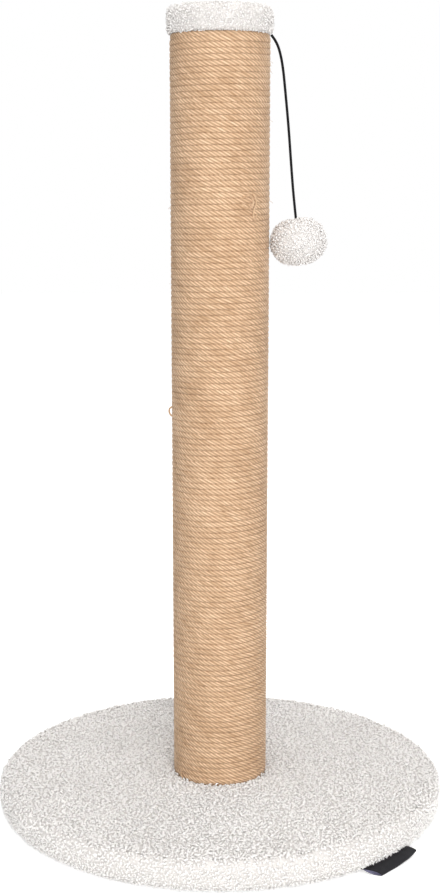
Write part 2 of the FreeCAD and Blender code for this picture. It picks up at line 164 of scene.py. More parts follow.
# each row is how far a lock curls, in degrees, then its bend and its yarn's radius, in mm
for turn, bend, yarn in [(105, 1.8, 0.72), (130, 1.5, 0.80), (150, 1.3, 0.74),
                         (175, 1.15, 0.78), (120, 2.0, 0.68), (200, 1.05, 0.72)]:
    form = bmesh.new()
    bmesh.ops.create_circle(form, segments=curl_sides, radius=yarn / 1000)
    spun = bmesh.ops.spin(form, geom=form.verts[:] + form.edges[:], cent=(bend / 1000, 0, 0),
                          axis=(0, 1, 0), angle=math.radians(turn), steps=curl_steps)
    tip = [v for v in spun["geom_last"] if isinstance(v, bmesh.types.BMVert)]
    centre = sum((v.co for v in tip), Vector()) / curl_sides
    bmesh.ops.pointmerge(form, verts=tip, merge_co=centre)
    bmesh.ops.holes_fill(form, edges=form.edges, sides=curl_sides)
    bmesh.ops.recalc_face_normals(form, faces=form.faces)
    shade_map = form.loops.layers.uv.new("OFBake")
    form.verts.index_update()
    for face in form.faces:
        for loop in face.loops:
            ring = loop.vert.index // curl_sides
            side = loop.vert.index % curl_sides / curl_sides
            loop[shade_map].uv = (side * shade_margin, shade_margin + shade_span * ring / curl_steps)
    curl = bpy.data.meshes.new("curl")
    form.to_mesh(curl)
    form.free()
    curl_forms.append(curl)


def cream_plush(name, light, shadow):
    """Boucle yarn: each lock has its own tone along U, and is painted darker towards its root along
    V, as painted shade deep in the pile.
    """
    material, thread, wear = finish(
        name, Roughness=0.95, Sheen_Weight=0.25, Sheen_Roughness=0.5, Specular_IOR_Level=0.2)
    place = thread.node("UVMap", {"uv_map": "OFBake"}, {})
    shade = thread.node("SeparateXYZ", {}, {0: place})
    height = thread.node("SeparateXYZ", {}, {0: place}, 1)
    # the MINIMUM term paints shade at each lock's root, deep in the pile; the U part is the lock's
    # own random tone
    tone = shade * 0.45 + height.math("MINIMUM", height * 2.2, 1.0) * 0.55
    ply = thread.node("TexWave", {}, {"Vector": place, "Scale": 6.0, "Distortion": 1.0})
    wear(Base_Color=tone.blend(shadow, light), Normal=relief(thread, ply, 0.0001, 0.4))
    return material


def backing_plush(name, light, shadow):
    """The close pile between the locks, painted a little darker than the locks as shade deep in the
    pile, and mottled at random by its tufts.
    """
    material, thread, wear = finish(
        name, Roughness=1.0, Sheen_Weight=0.2, Sheen_Roughness=0.5, Specular_IOR_Level=0.2)
    tufts = grain(thread, 0.0022)
    wear(Base_Color=tufts.blend(shadow, light), Normal=relief(thread, tufts, 0.0012))
    return material


curls_finish = cream_plush("cream_boucle", srgb(255, 253, 251), srgb(210, 205, 202))
# the pile's colours are darker than the locks' as painted shade between them
shaded_pile_finish = backing_plush("cream_pile_painted_shade", srgb(238, 235, 232), srgb(194, 189, 186))


def new_piece(name, bm, material, body):
    """A finished bmesh as a smooth piece of the object, at the origin. It rides on body, if any."""
    mesh = bpy.data.meshes.new(name)
    bm.to_mesh(mesh)
    bm.free()
    mesh.polygons.foreach_set("use_smooth", [True] * len(mesh.polygons))
    mesh.materials.append(material)
    piece = bpy.data.objects.new(name, mesh)
    bpy.context.scene.collection.objects.link(piece)
    if body:
        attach(piece, body)
    return piece


def patchiness(place):
    """Soft patches where the locks are lighter or darker, from 0 to 1."""
    return 0.5 + 0.6 * noise.noise(place * 22) + 0.35 * noise.noise(place * 75)


def plant(name, spots, body, lean=38, size=1.0, seed=1, bare=0.42, pale=0.25, lowest=None):
    """Locks of yarn rooted at spots, each a point and the way the pile stands there. A low bare
    leaves more gaps, a high pale makes the locks lighter, and none reaches below lowest."""
    chance = random.Random(seed)
    bm = bmesh.new()
    shades = []
    for point, up in spots:
        form = chance.choice(curl_forms)
        if noise.noise(point * 210) < -bare:
            continue
        turn = Matrix.Rotation(chance.uniform(0, 2 * math.pi), 4, "Z")
        tilt = Matrix.Rotation(math.radians(chance.uniform(-lean, lean)), 4, "X")
        grow = Matrix.Scale(size * chance.uniform(0.75, 1.25), 4)
        stand = up.to_track_quat("Z", "Y").to_matrix().to_4x4()
        place = Matrix.Translation(point) @ stand @ turn @ tilt @ grow
        form.transform(place)
        bm.from_mesh(form)
        form.transform(place.inverted())
        patch = patchiness(point)
        shades.append(min(shade_span, max(0.0, pale + 0.45 * chance.random() + 0.3 * patch)))
    if lowest is not None:
        for vert in bm.verts:
            vert.co.z = max(vert.co.z, lowest)
    piece = new_piece(name, bm, curls_finish, body)
    corners = sum(len(face.vertices) for face in curl_forms[0].polygons)
    places = np.empty(2 * len(piece.data.loops), np.float32)
    shade_map = piece.data.uv_layers["OFBake"].uv
    shade_map.foreach_get("vector", places)
    places[0::2] += np.repeat(np.array(shades, np.float32), corners)
    shade_map.foreach_set("vector", places)
    return piece


def spots_round(outline, spacing, start, end, seed):
    """Spots on a body turned about Z, between two distances along its outline in the XZ plane. Each
    strays from its place by a share of the spacing."""
    stray = 0.4
    chance = random.Random(seed)
    spots = []
    travelled = 0.0
    reach = start + spacing / 2
    for here, there in zip(outline, outline[1:]):
        step = (there - here).length
        while reach < min(end, travelled + step):
            place = here.lerp(there, (reach - travelled) / step)
            out = Vector((there.y - here.y, here.x - there.x)).normalized() * -1
            count = max(1, round(2 * math.pi * place.x / spacing))
            offset = chance.random()
            for index in range(count):
                azimuth = 2 * math.pi * (index + offset + chance.uniform(-stray, stray)) / count
                radius = place.x + out.y * chance.uniform(-stray, stray) * spacing
                height = place.y - out.x * chance.uniform(-stray, stray) * spacing
                around = Vector((math.cos(azimuth), math.sin(azimuth), 0))
                spots.append((around * radius + Vector((0, 0, height)),
                              (around * out.x + Vector((0, 0, out.y))).normalized()))
            reach += spacing
        travelled += step
    return spots


def round_corner(centre, radius, first, last, steps):
    """Points round a corner of an outline, between two directions in degrees."""
    turns = [math.radians(first + (last - first) * step / steps) for step in range(steps + 1)]
    return [centre + Vector((math.cos(turn), math.sin(turn))) * radius for turn in turns]


def resampled(outline, step):
    """The outline with points about a step apart."""
    points = [outline[0]]
    for here, there in zip(outline, outline[1:]):
        count = max(1, round((there - here).length / step))
        points += [here.lerp(there, (index + 1) / count) for index in range(count)]
    return points


def length_of(outline):
    return sum((there - here).length for here, there in zip(outline, outline[1:]))


def rolled(rows, columns, place, marks=(), strip=None):
    """A grid rolled into a tube. place(vert, row, column, *layers) sets each vertex, and marks name
    the vector layers that it fills. A strip is the rows in each band of the UV map."""
    bm = bmesh.new()
    layers = [bm.verts.layers.float_vector.new(mark) for mark in marks]
    bmesh.ops.create_grid(bm, x_segments=columns, y_segments=rows, size=1)
    if strip:
        bands = math.ceil(rows / strip)
        band_map = bm.loops.layers.uv.new("OFBake")
        for face in bm.faces:
            spots = [divmod(loop.vert.index, columns + 1) for loop in face.loops]
            band = min(row for row, column in spots) // strip
            for loop, (row, column) in zip(face.loops, spots):
                loop[band_map].uv = (row / strip - band, (band + column / columns) / bands)
    rim = []
    for vert in bm.verts:
        row, column = divmod(vert.index, columns + 1)
        place(vert, row, column, *layers)
        if row in (0, rows) or column in (0, columns):
            rim.append(vert)
    bmesh.ops.remove_doubles(bm, verts=rim, dist=1e-7)
    return bm


def turned(outline, around):
    """A bmesh turned about Z from a closed outline."""
    loop = outline + outline[:1]

    def place(vert, row, column):
        azimuth = 2 * math.pi * (column % around) / around
        point = loop[row]
        vert.co = (point.x * math.cos(azimuth), point.x * math.sin(azimuth), point.y)

    bm = rolled(len(outline), around, place)
    bmesh.ops.recalc_face_normals(bm, faces=bm.faces)
    return bm


def ruffle(bm, lumps, fine, keep):
    """Lumps in a pile's surface, in metres, left out where keep(place) is 0."""
    bm.normal_update()
    moves = []
    for vert in bm.verts:
        lift = lumps * noise.noise(vert.co * 330) + fine * noise.noise(vert.co * 800)
        moves.append(vert.normal * lift * keep(vert.co))
    for vert, move in zip(bm.verts, moves):
        vert.co += move


base_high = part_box("base_cover")[1]
board_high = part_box("base_board")[1]
base_radius = base_high.x
base_top = base_high.z
rope_radius_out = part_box("rope_wrap")[1].x
board_radius = board_high.x
board_bottom = 0.003
board_low_round = 0.004
board_top_round = 0.002
backing_gap = 0.0001
post_gap = 0.0004
pile_height = 0.0016
pile_face = 0.001
pressed_by_post = 0.0028
pressed_by_floor = 0.0015
top_round = 0.009
bottom_round = 0.013
hem_top = board_bottom - backing_gap
hem_edge = 0.0018
hem_inner = 0.150
hem_pressed = 0.178
base_columns = 628

top_edge = Vector((base_radius - top_round, base_top - top_round))
low_edge = Vector((base_radius - bottom_round, bottom_round))
outer = [Vector((rope_radius_out + post_gap, base_top - pressed_by_post)),
         Vector((rope_radius_out + 3 * post_gap, base_top - pile_height)),
         Vector((base_radius - top_round, base_top - pile_height))]
outer += round_corner(top_edge, top_round - pile_height, 90, 0, 6)
outer += round_corner(low_edge, bottom_round - pile_height, 0, -90, 8)
outer += [Vector((hem_pressed, pile_height * 0.6))]
outer = resampled(outer, 0.002)
under = [Vector((hem_pressed - 0.002, pile_height)), Vector((hem_inner, hem_edge)),
         Vector((hem_inner, hem_top)), Vector((board_radius - board_low_round, hem_top))]
inner = round_corner(Vector((board_radius - board_low_round, board_bottom + board_low_round)),
                     board_low_round + backing_gap, -90, 0, 3)
inner += round_corner(Vector((board_radius - board_top_round, board_high.z - board_top_round)),
                      board_top_round + backing_gap, 0, 90, 3)
inner += [Vector((rope_radius_out + post_gap, board_high.z + backing_gap))]
plush = turned(outer + under + inner, base_columns)
ruffle(plush, 0.0007, 0.0004, lambda place: float(
    place.z > pressed_by_floor
    and (place.z > board_high.z + pile_face or place.xy.length > board_radius + pile_face)))
base_plush = new_piece("base_plush", plush, shaded_pile_finish, "post")
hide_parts("base_cover")

# where the bands of locks end, along the outline from the post to the hem
inner_end = 0.078
middle_end = 0.122
outer_end = 0.160
edge_end = 0.176
side_end = length_of(outer) - 0.004
top_spacing = 0.00215
side_spacing = 0.0019
floor_gap = 0.0002
top_bands = [("base_curls_inner", 0.0, inner_end), ("base_curls_middle", inner_end, middle_end),
             ("base_curls_outer", middle_end, outer_end)]
base_curls = [
    plant(name, spots_round(outer, top_spacing, start, end, seed), "post", seed=seed)
    for seed, (name, start, end) in enumerate(top_bands)
]
side_bands = [("base_curls_edge", outer_end, edge_end), ("base_curls_side", edge_end, side_end)]
# The side's locks are painted lighter and more even in tone than the top's, as painted light where
# the side faces the lamps.
base_curls += [
    plant(name, spots_round(outer, side_spacing, start, end, seed), "post", lean=30, size=0.8,
          seed=seed, bare=1, pale=0.92, lowest=floor_gap)
    for seed, (name, start, end) in enumerate(side_bands, 5)
]

staple_wire, thread, wear = finish("staple_wire", Metallic=1.0)
film = grain(thread, 0.0015, 4.0)
scratch = grain(thread, 0.0003, 2.0)
wear(Base_Color=film.blend(srgb(150, 150, 152), srgb(206, 206, 208)), Roughness=film * 0.3 + 0.25,
     Normal=relief(thread, scratch, 0.00003))
dress("hem_staples", staple_wire)


# ---- blank tag -------------------------------------------------------------------------------
# A black satin ribbon, folded into a loop and sewn by both ends into the side of the base. Its left
# end stands open, and the fold sinks towards the floor. Both faces are bare.

ribbon_width = 0.052
ribbon_rows = 36
ribbon_columns = 24
tail_columns = 2
ribbon_thickness = 0.0004
ribbon_tail = 0.003
ribbon_waver = 0.00025
weave_length = 0.03
# each row is a place across the ribbon: the sewn end's azimuth and height, the fold's azimuth,
# radius and height, and how far the loop opens
ribbon_sections = [
    (-53.6, 0.0042, -51.0, 0.2098, 0.0010, 0.0036),
    (-50.2, 0.0050, -48.2, 0.2086, 0.0011, 0.0030),
    (-46.0, 0.0060, -44.4, 0.2076, 0.0014, 0.0026),
    (-41.4, 0.0068, -40.0, 0.2068, 0.0022, 0.0022),
    (-37.0, 0.0064, -36.4, 0.2054, 0.0036, 0.0012),
]


def side_radius(height):
    """The radius of the base's side near the floor."""
    rise = min(bottom_round, height)
    return base_radius - bottom_round + math.sqrt(bottom_round ** 2 - (bottom_round - rise) ** 2)


def round_base(azimuth, radius, height):
    """A place by its azimuth in degrees, its distance from the post's axis and its height."""
    turn = math.radians(azimuth)
    return Vector((radius * math.cos(turn), radius * math.sin(turn), height))


def ribbon_section(share):
    """The ribbon's section at a share of its width, between the sections listed."""
    place = share * (len(ribbon_sections) - 1)
    index = min(len(ribbon_sections) - 2, int(place))
    part = place - index
    eased = part * part * (3 - 2 * part) * 0.35 + part * 0.65
    return [low + (high - low) * eased for low, high in zip(*ribbon_sections[index:index + 2])]


ribbon = bmesh.new()
weave_way = ribbon.verts.layers.float_vector.new("weave")
bmesh.ops.create_grid(ribbon, x_segments=ribbon_columns, y_segments=ribbon_rows, size=1)
for vert in ribbon.verts:
    row, column = divmod(vert.index, ribbon_columns + 1)
    across = row / ribbon_rows
    sewn_turn, sewn_height, fold_turn, fold_radius, fold_height, opening = ribbon_section(across)
    sewn = round_base(sewn_turn, side_radius(sewn_height) + ribbon_thickness / 2, sewn_height)
    fold = round_base(fold_turn, fold_radius, fold_height)
    chord = fold - sewn
    level = Vector((chord.x, chord.y, 0)).normalized()
    face_way = (Vector((0, 0, 1)) - chord.normalized() * chord.normalized().z).normalized()
    along = (column - tail_columns) / (ribbon_columns - 2 * tail_columns)
    if 0 <= along <= 1:
        reach = (1 - math.cos(2 * math.pi * along)) / 2
        swell = opening / 2 * math.sin(2 * math.pi * along) * reach ** 0.4
        spot = sewn + chord * reach + face_way * swell
    else:
        depth = tail_columns - min(column, ribbon_columns - column)
        spot = sewn - level * ribbon_tail * depth / tail_columns
    side = 1 if column < ribbon_columns / 2 else -1
    spot += Vector((0, 0, side * ribbon_thickness * 0.7))
    spot.z += ribbon_waver * noise.noise(Vector((across * 6, along * 2, 1)))
    vert.co = (spot.x, spot.y, max(spot.z, ribbon_thickness * 1.2))
    vert[weave_way] = (across * ribbon_width, along * weave_length, 0)
bmesh.ops.recalc_face_normals(ribbon, faces=ribbon.faces)
made = bmesh.ops.solidify(ribbon, geom=ribbon.faces[:], thickness=ribbon_thickness)
# The second face and the rims take the lighter back finish: on the back it is the satin's own colour,
# on the rims it is a painted highlight along the edges.
for part in made["geom"]:
    if isinstance(part, bmesh.types.BMFace):
        part.material_index = 1
bmesh.ops.recalc_face_normals(ribbon, faces=ribbon.faces)
# solidify leaves them in another order at each run
corners = sorted(ribbon.verts, key=lambda vert: tuple(vert.co))
faces = sorted(ribbon.faces, key=lambda face: tuple(face.calc_center_median()))
for elements in (corners, faces):
    for index, element in enumerate(elements):
        element.index = index
ribbon.verts.sort()
ribbon.faces.sort()


def satin_face(name, dark, light):
    """Satin: fine ribs along the ribbon, crossed by its picks, with a little lint."""
    material, thread, wear = finish(name, Specular_IOR_Level=0.2)
    weave_place = thread.node("Attribute", {"attribute_name": "weave"}, {}, 1)
    ribs = thread.node("TexWave", {"bands_direction": "Y"}, {"Vector": weave_place, "Scale": 420.0})
    picks = thread.node("TexWave", {"bands_direction": "X"}, {"Vector": weave_place, "Scale": 260.0})
    lint = grain(thread, 0.004)
    woven = ribs * 0.6 + picks * 0.4
    wear(Base_Color=(woven * 0.5 + lint * 0.5).blend(dark, light), Roughness=woven * 0.15 + 0.45,
         Normal=relief(thread, woven, 0.0001))
    return material


satin = satin_face("black_satin", srgb(9, 9, 11), srgb(32, 31, 36))
# light grey: the back's own colour, and a painted highlight on the rims
satin_back_and_rim_highlight = satin_face("grey_satin_back_and_rim_highlight", srgb(96, 95, 116), srgb(150, 149, 176))
ribbon_tag = new_piece("ribbon_tag", ribbon, satin, "post")
ribbon_tag.data.materials.append(satin_back_and_rim_highlight)
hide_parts("blank_tag")


# ---- closing cloth ---------------------------------------------------------------------------
# Thin black spunbond cloth, cut round and stapled over the hem, so that it puckers between its
# staples. A hole at its middle leaves the bolt's head free.

sheet_low, sheet_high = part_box("base_sheet")
cloth_radius = sheet_high.x
cloth_hole = 0.020
cloth_room = 0.00025
cloth_steps = 70
cloth_columns = 240
pucker_start = 0.11
pucker_size = 0.00022
staple_count = 12
staple_turn = 2 * math.pi / staple_count
cloth_bottom = [
    Vector((cloth_hole + (cloth_radius - cloth_hole) * step / cloth_steps, sheet_low.z))
    for step in range(cloth_steps + 1)
]
cloth_top = [Vector((point.x, sheet_high.z - cloth_room)) for point in reversed(cloth_bottom)]
closing = turned(cloth_bottom + cloth_top, cloth_columns)
for vert in closing.verts:
    radius = vert.co.xy.length
    turn = math.atan2(vert.co.y, vert.co.x)
    edge = max(0.0, (radius - pucker_start) / (cloth_radius - pucker_start))
    pucker = math.cos((turn - staple_turn / 2) * staple_count) * edge * 0.5
    drape = noise.noise(Vector((vert.co.x * 30, vert.co.y * 30, 2))) * 0.7
    fold = noise.noise(Vector((radius * 12, turn * 9, 5))) * edge
    vert.co.z += pucker_size * (pucker + drape + fold) - 0.00005
spunbond, thread, wear = finish("black_spunbond", Roughness=0.9, Specular_IOR_Level=0.25)
web = grain(thread, 0.0009, 4.0)
points = thread.node("TexVoronoi", {}, {"Scale": 620.0, "Randomness": 0.15})
cloud = grain(thread, 0.012)
wear(Base_Color=(web * 0.5 + points * 0.3 + cloud * 0.2).blend(srgb(22, 22, 24), srgb(66, 66, 70)),
     Normal=relief(thread, web * 0.5 + points * 0.5, 0.00025))
closing_cloth = new_piece("closing_cloth", closing, spunbond, "post")
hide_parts("base_sheet")
dress("sheet_staples", staple_wire)


# ---- post core -------------------------------------------------------------------------------
# A spiral-wound cardboard tube on two turned softwood plugs, held by staples through its wall. A
# zinc-plated bolt comes up through the board into a tee nut in the lower plug.

zinc, thread, wear = finish("zinc_plate", Metallic=1.0)
bloom = grain(thread, 0.003, 4.0)
pits = grain(thread, 0.0005, 2.0)
wear(Base_Color=bloom.blend(srgb(166, 170, 176), srgb(214, 216, 218)), Roughness=bloom * 0.25 + 0.28,
     Normal=relief(thread, pits, 0.00004))
for name in ("base_bolt", "base_washer", "tee_nut"):
    dress(name, zinc)

plies_per_metre = 9
seam_share = 0.012
cardboard, thread, wear = finish("spiral_cardboard", Roughness=0.9)
place = thread.node("TexCoord", {}, {}, "Object")
out, along, up = [thread.node("SeparateXYZ", {}, {0: place}, axis) for axis in range(3)]
turn = thread.math("ARCTAN2", along, out)
plies = turn * (1 / (2 * math.pi)) + up * plies_per_metre
ply = thread.math("FRACT", plies)
seam = thread.math("LESS_THAN", ply, seam_share)
pulp = grain(thread, 0.0012, 5.0)
mottle = grain(thread, 0.02)
wear(Base_Color=seam.blend((pulp * 0.6 + mottle * 0.4).blend(srgb(138, 112, 84), srgb(188, 160, 126)),
                           srgb(96, 76, 56)),
     Normal=relief(thread, pulp - seam, 0.0003))
dress("post_tube", cardboard)

plug_wood, thread, wear = finish("raw_softwood", Roughness=0.75)
place = thread.node("TexCoord", {}, {}, "Object")
slab = thread.node("Mapping", {}, {
    "Vector": place, "Location": (0.03, 0.012, 0), "Scale": (1, 1, 0.06)})
rings = thread.node("TexWave", {"wave_type": "RINGS", "rings_direction": "Z"}, {
    "Vector": slab, "Scale": 95.0, "Distortion": 3.5, "Detail": 2.0, "Detail Scale": 1.2})
pores = thread.node("TexNoise", {}, {"Vector": slab, "Scale": 1400.0, "Detail": 3.0})
wear(Base_Color=(rings * 0.7 + pores * 0.3).blend(srgb(176, 132, 86), srgb(226, 190, 142)),
     Normal=relief(thread, pores, 0.0002))
for name in ("bottom_plug", "top_plug"):
    dress(name, plug_wood)
for name in ("bottom_plug_staples", "top_plug_staples"):
    dress(name, staple_wire)


# ---- rope ------------------------------------------------------------------------------------
# Jute rope of three strands with two yarns each, wound tight up the tube from base to cap. It is
# laid right-handed, so on the front its yarns run down to the right, and each turn presses on the
# last. A few yarns have worked loose, and fine hairs stand out all over.

yarns = 6
yarn_outline = [1.0, 0.75]
yarn_gap_shade = 0.8
turn_contact = 0.76
lay_scale = 250
end_tuck = 0.0005
sway_size = 0.0004
bulge_size = 0.00016
rope_sides = yarns * len(yarn_outline)
rings_per_turn = 184
rope_pitch = 0.00478
rope_half_height = rope_pitch / 2 * 1.19
rope_half_depth = 0.00225
rope_squareness = 3.2
winding_radius = rope_radius_out - rope_half_depth
lay_length = 0.026
first_centre = 0.02945
last_centre = 0.67105
turn_count = (last_centre - first_centre) / rope_pitch

rope_finish, thread, wear = finish(
    "jute_rope", Roughness=0.8, Specular_IOR_Level=0.25, Sheen_Weight=0.1)
# Painted shade: the colour darkens in the gaps between yarns and where each turn presses on the next,
# by how deep each place lies there.
groove_shade = thread.node("Attribute", {"attribute_name": "groove_shade"}, {}, "Fac")
lay_place = thread.node("Attribute", {"attribute_name": "lay"}, {}, "Vector")
fibre = grain(thread, 1.0, 4.0, lay_place)
stretch = grain(thread, 0.03, 2.0)
yarn_shade = grain(thread, 4.5, 1.0, lay_place)
tone = fibre * 0.3 + yarn_shade * 0.45 + stretch * 0.25
spread = tone.node("MapRange", {}, {0: tone, 1: 0.36, 2: 0.64})
crest = spread.blend(srgb(196, 161, 126), srgb(249, 217, 183))
wear(Base_Color=groove_shade.blend(crest, srgb(142, 106, 73)), Normal=relief(thread, fibre, 0.0003))


def rope_ring(turn):
    """Where the rope's centre is after some turns from its start at the back. Its ends lie level."""
    azimuth = math.pi / 2 + 2 * math.pi * turn
    around = Vector((math.cos(azimuth), math.sin(azimuth), 0))
    climbed = min(max(turn, 0.0), turn_count)
    tucked = end_tuck if climbed != turn else 0.0
    sway = noise.noise(Vector((around.x * 1.3, around.y * 1.3, turn * 0.23))) * sway_size
    bulge = noise.noise(Vector((around.x * 3 + 7, around.y * 3, turn * 0.9))) * bulge_size
    height = first_centre + climbed * rope_pitch + sway
    return azimuth, around * (winding_radius + bulge - tucked) + Vector((0, 0, height))


def rope_piece(name, first, last):
    """A length of the winding between two turns: a ring of its yarns' outline, carried round."""
    rings = round((last - first) * rings_per_turn)
    frames = []
    for ring in range(rings + 1):
        turn = first + (last - first) * ring / rings
        azimuth, centre = rope_ring(turn)
        length = 2 * math.pi * winding_radius * turn
        swell = 1 + 0.035 * noise.noise(Vector((length * 60, 0, 3)))
        squeeze = Matrix.Diagonal((rope_half_depth * swell, 1, rope_half_height * swell, 1))
        stand = Matrix.Translation(centre) @ Matrix.Rotation(azimuth, 4, "Z") @ squeeze
        slip = 1.6 * noise.noise(Vector((length * 22, 5, 0)))
        # how strongly the painted shade shows where turns press together, varying along the rope
        contact_shade = 0.7 + 2.4 * noise.noise(Vector((length * 130, 2, 7)))
        frames.append((stand, slip - 2 * math.pi * length / lay_length, length * lay_scale, contact_shade))

    def place(vert, row, column, groove_shade, lay):
        stand, spin, length, contact_shade = frames[row]
        side = column % rope_sides
        size = yarn_outline[side % 2]
        angle = 2 * math.pi * side / rope_sides + spin
        out, up = math.cos(angle), math.sin(angle)
        size /= (abs(out) ** rope_squareness + abs(up) ** rope_squareness) ** (1 / rope_squareness)
        vert.co = stand @ Vector((out * size, 0, up * size))
        # painted shade between the yarns, and where a turn presses on the next
        depth = yarn_gap_shade * (side % 2) + max(0.0, abs(up) * size - turn_contact) * contact_shade
        vert[groove_shade] = (depth, depth, depth)
        angle -= spin
        vert[lay] = (length, 5 * math.cos(angle), 5 * math.sin(angle))

    bm = rolled(rings, rope_sides, place, ("groove_shade", "lay"), rings_per_turn)
    bmesh.ops.holes_fill(bm, edges=bm.edges, sides=rope_sides)
    bmesh.ops.recalc_face_normals(bm, faces=bm.faces)
    return new_piece(name, bm, rope_finish, "post")


rope_cuts = [-1, 34, 67, 101, turn_count + 1]
rope_names = ["rope_foot", "rope_lower", "rope_upper", "rope_head"]
rope_pieces = [
    rope_piece(name, first, last)
    for name, first, last in zip(rope_names, rope_cuts, rope_cuts[1:])
]
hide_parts("rope_foot_turns")
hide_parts("rope_wrap")
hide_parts("rope_top_turns")
dress("rope_tacks", zinc)


def smooth_line(points, steps):
    """A curve on a smooth line near the points given."""
    route = bpy.data.curves.new("route", "CURVE")
    route.dimensions = "3D"
    route.resolution_u = steps
    spline = route.splines.new("NURBS")
    spline.points.add(len(points) - 1)
    for point, place in zip(spline.points, points):
        point.co = (*place, 1)
    spline.order_u = 3
    spline.use_endpoint_u = True
    line = bpy.data.objects.new("line", route)
    bpy.context.scene.collection.objects.link(line)
    return line


def thicken(line, radius, roundness):
    line.data.bevel_depth = radius
    line.data.bevel_resolution = roundness
    line.data.use_fill_caps = True


def drawn(line):
    """The mesh of a curve as it stands."""
    bpy.context.view_layer.update()
    return bpy.data.meshes.new_from_object(line)


def loose_yarn(points, radius):
    """Adds a yarn past points on the winding: azimuth in degrees, height and lift in mm."""
    places = [round_base(turn, rope_radius_out + lift / 1000, height / 1000)
              for turn, height, lift in points]
    line = smooth_line(places, 6)
    thicken(line, radius, 1)
    loose.from_mesh(drawn(line))
    bpy.data.objects.remove(line)


loose = bmesh.new()
# each row is a thickness in mm, then the points that the yarn passes
loose_yarns = [
    (1.5, [(-63, 541, -1), (-60, 543, 1), (-54, 543, 1.6), (-50.5, 538, 1.8), (-53, 533, 1.6),
           (-61, 532, 1.2), (-64, 536, -1)]),
    (1.3, [(-51, 545, -1), (-48, 543, 1), (-45.5, 537, 1.6), (-50.5, 531, 1.8), (-51, 525, 1.4),
           (-45, 523, 1), (-43, 529, -1)]),
    (1.1, [(-57, 536, -0.5), (-55, 537, 1.4), (-52, 534, 2.0), (-49, 533, -0.5)]),
    (1.6, [(-176, 363, -1), (-178, 362, 1.2), (-179, 359, 2.6), (-178, 355, 1.3), (-176, 354, -1)]),
    (1.4, [(-150, 33, -1), (-146, 33, 0.8), (-142, 31, 1.4), (-139, 28.5, 1.6)]),
    (1.0, [(-148, 35, -1), (-144, 34, 1.0), (-141, 33.5, 2.4), (-139, 32, 3.6)]),
    (1.2, [(100, 672, -1), (94, 671, 0.8), (88, 669, 1.6), (85, 665, 1.9)]),
]
for thickness, points in loose_yarns:
    loose_yarn(points, thickness / 1000 / 2)
hair_count = 150
hair_radius = 0.00011
chance = random.Random(31)
for hair in range(hair_count):
    turn, height = chance.uniform(0, 360), chance.uniform(32, 668)
    run, climb = chance.uniform(4, 11), chance.uniform(-3.5, 1.5)
    middle = (turn + run * 0.4, height + climb * 0.2, chance.uniform(0.3, 1.4))
    end = (turn + run, height + climb, chance.uniform(0.4, 2.8))
    loose_yarn([(turn, height, -0.5), middle, end], hair_radius)
loose_way = loose.verts.layers.float_vector.new("lay")
loose_shade = loose.verts.layers.float_vector.new("groove_shade")
# The loose yarns take part of the grooves' painted shade, so they are painted a little darker.
for vert in loose.verts:
    vert[loose_way] = vert.co * 900
    vert[loose_shade] = (0.4, 0.4, 0.4)
bmesh.ops.remove_doubles(loose, verts=loose.verts, dist=1e-6)
bmesh.ops.recalc_face_normals(loose, faces=loose.faces)
new_piece("rope_loose_yarns", loose, rope_finish, "post")


# ---- cap -------------------------------------------------------------------------------------
# A fibreboard disc in the same boucle, its hem tucked between the disc and the tube's rim. The
# cord's knot draws the hem in and parts the pile, so that the cord swings free of both.

cap_low, cap_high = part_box("cap_cover")
disc_low, disc_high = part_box("cap_disc")
cap_radius = cap_high.x
cap_top = cap_high.z
cap_pile = 0.0014
crown_round = 0.0072
crown_rise = 0.0006
hem_round = 0.0050
hem_lift = 0.0006
cap_hem_inner = 0.022
axis_gap = 0.0003
cap_columns = 200
small_spacing = 0.00175
notch_start = disc_high.x + 0.0003
notch_turn = 0.10
notch_height = 0.008
bare_turn = 0.085
bare_height = 0.0085

crown = Vector((cap_radius - crown_round, cap_top - crown_round))
tuck = Vector((cap_radius - hem_round, cap_low.z + hem_round - hem_lift))
outer = [Vector((axis_gap, cap_top - cap_pile + crown_rise)),
         Vector((crown.x * 0.5, cap_top - cap_pile + crown_rise / 2))]
outer += round_corner(crown, crown_round - cap_pile, 90, 0, 6)
outer += round_corner(tuck, hem_round - cap_pile, 0, -90, 6)
outer += [Vector((rope_radius_out - 0.001, cap_low.z + hem_lift))]
outer = resampled(outer, 0.0012)
under = [Vector((cap_hem_inner, cap_low.z + 0.0002)),
         Vector((cap_hem_inner, disc_low.z - backing_gap)),
         Vector((disc_high.x + backing_gap, disc_low.z - backing_gap)),
         Vector((disc_high.x + backing_gap, disc_high.z + backing_gap)),
         Vector((axis_gap, disc_high.z + backing_gap))]
plush = turned(outer + under, cap_columns)
ruffle(plush, 0.0006, 0.0004, lambda place: float(
    place.xy.length > disc_high.x + pile_face or place.z > disc_high.z + pile_face))
for vert in plush.verts:
    turn = math.atan2(vert.co.y, vert.co.x)
    rise = vert.co.z - cap_low.z
    notch = max(0.0, 1 - (turn / notch_turn) ** 2) * max(0.0, 1 - rise / notch_height)
    radius = vert.co.xy.length
    dent = 1 - notch * max(0.0, radius - notch_start) / radius
    vert.co.x *= dent
    vert.co.y *= dent
cap_plush = new_piece("cap_plush", plush, shaded_pile_finish, "post")
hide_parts("cap_cover")
cap_spots = [
    (point, up) for point, up in spots_round(outer, small_spacing, 0.0, length_of(outer), 11)
    if abs(math.atan2(point.y, point.x)) > bare_turn or point.z > cap_low.z + bare_height
]
# The cap's locks are painted darker than the base's, as painted shade that offsets the stronger light
# the cap catches.
cap_curls = plant("cap_curls", cap_spots, "post", lean=45, size=0.74, seed=11, bare=1, pale=-0.12)
dress("cap_screws", zinc)
dress("cap_staples", staple_wire)


# ---- toy cord --------------------------------------------------------------------------------
# Round black elastic, 2.2 mm thick: rubber inside a braided sleeve. It is knotted in the cap's
# hem, bows out and hangs down against the ball's weight to a knot inside the ball.

